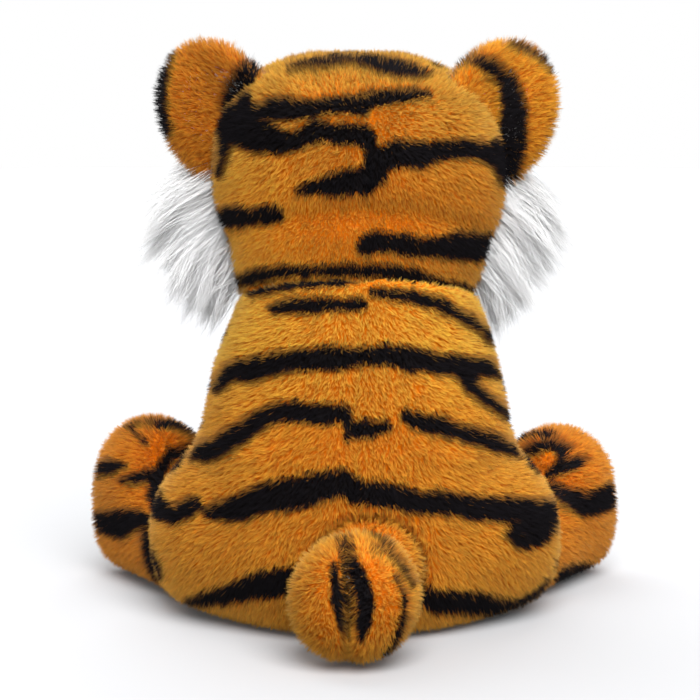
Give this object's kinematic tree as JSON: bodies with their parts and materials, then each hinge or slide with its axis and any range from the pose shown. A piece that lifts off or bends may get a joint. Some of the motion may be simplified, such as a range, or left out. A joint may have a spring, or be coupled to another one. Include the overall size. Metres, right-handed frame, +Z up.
{
  "type": "plush toy",
  "caption": "Sitting tiger soft toy in orange plush with black stripes, round ears, long white cheek ruffs, splayed hind legs, front paws on the floor and a stubby tail.",
  "frame": {"origin": "on the floor under the middle of the toy's bounding box", "axes": "+Z up from the floor through the head; the toy looks along -Y and its left side is at +X"},
  "size_m": [0.2856, 0.2492, 0.2923],
  "materials": {
    "orange_plush": "orange pile plush with printed black stripes",
    "white_plush": "off-white pile plush",
    "long_white_fur": "long white fur in soft locks",
    "sole_plush": "short cream velboa",
    "stuffing": "white polyester fibre",
    "cotton_bag": "plain woven cotton",
    "black_plastic": "polished",
    "clear_nylon": "moulded",
    "pink_satin": "satin",
    "black_thread": "embroidery thread"
  },
  "bodies": {
    "body": {"back_panel_left": "orange_plush", "back_panel_right": "orange_plush", "belly_panel": "white_plush", "base_panel": "orange_plush", "body_stuffing": "stuffing", "pellet_bag": "cotton_bag"},
    "neck": {"neck_stuffing": "stuffing"},
    "head": {"head_panel_left": "orange_plush", "head_panel_right": "orange_plush", "head_stuffing": "stuffing", "muzzle": "white_plush", "muzzle_stuffing": "stuffing", "nose": "pink_satin", "eye_left": "black_plastic", "eye_washer_left": "clear_nylon", "ear_back_left": "orange_plush", "ear_lining_left": "white_plush", "cheek_ruff_left": "long_white_fur", "eye_right": "black_plastic", "eye_washer_right": "clear_nylon", "ear_back_right": "orange_plush", "ear_lining_right": "white_plush", "cheek_ruff_right": "long_white_fur"},
    "front_leg_left": {"front_leg_left": "orange_plush", "front_leg_stuffing_left": "stuffing"},
    "hind_leg_left": {"hind_leg_left": "orange_plush", "hind_leg_stuffing_left": "stuffing", "sole_pad_left": "sole_plush"},
    "front_leg_right": {"front_leg_right": "orange_plush", "front_leg_stuffing_right": "stuffing"},
    "hind_leg_right": {"hind_leg_right": "orange_plush", "hind_leg_stuffing_right": "stuffing", "sole_pad_right": "sole_plush"},
    "tail": {"tail": "orange_plush", "tail_stuffing": "stuffing"}
  },
  "joints": [
    {"name": "neck_nod", "type": "hinge", "parent": "body", "child": "neck", "pos_m": [0, -0.0215, 0.204], "axis": [1, 0, 0], "range_deg": [-12, 12], "stiffness_Nm_per_rad": 1.5},
    {"name": "neck_turn", "type": "hinge", "parent": "neck", "child": "head", "pos_m": [0, -0.0215, 0.204], "axis": [0, -0.4147, 0.91], "range_deg": [-18, 18], "stiffness_Nm_per_rad": 1},
    {"name": "front_leg_left_raise", "type": "hinge", "parent": "body", "child": "front_leg_left", "pos_m": [0.052, -0.04614, 0.114], "axis": [-1, 0, 0], "range_deg": [0, 60], "stiffness_Nm_per_rad": 0.1},
    {"name": "front_leg_right_raise", "type": "hinge", "parent": "body", "child": "front_leg_right", "pos_m": [-0.052, -0.04614, 0.114], "axis": [-1, 0, 0], "range_deg": [0, 60], "stiffness_Nm_per_rad": 0.1},
    {"name": "hind_leg_left_splay", "type": "hinge", "parent": "body", "child": "hind_leg_left", "pos_m": [0.058, -0.00445, 0], "axis": [0, 0, 1], "range_deg": [-6, 18], "stiffness_Nm_per_rad": 0.15},
    {"name": "hind_leg_right_splay", "type": "hinge", "parent": "body", "child": "hind_leg_right", "pos_m": [-0.058, -0.00445, 0], "axis": [0, 0, -1], "range_deg": [-6, 18], "stiffness_Nm_per_rad": 0.15},
    {"name": "tail_wag", "type": "hinge", "parent": "body", "child": "tail", "pos_m": [-0.006, 0.0549, 0.038], "axis": [0, 0, 1], "range_deg": [-15, 15], "stiffness_Nm_per_rad": 0.08}
  ]
}
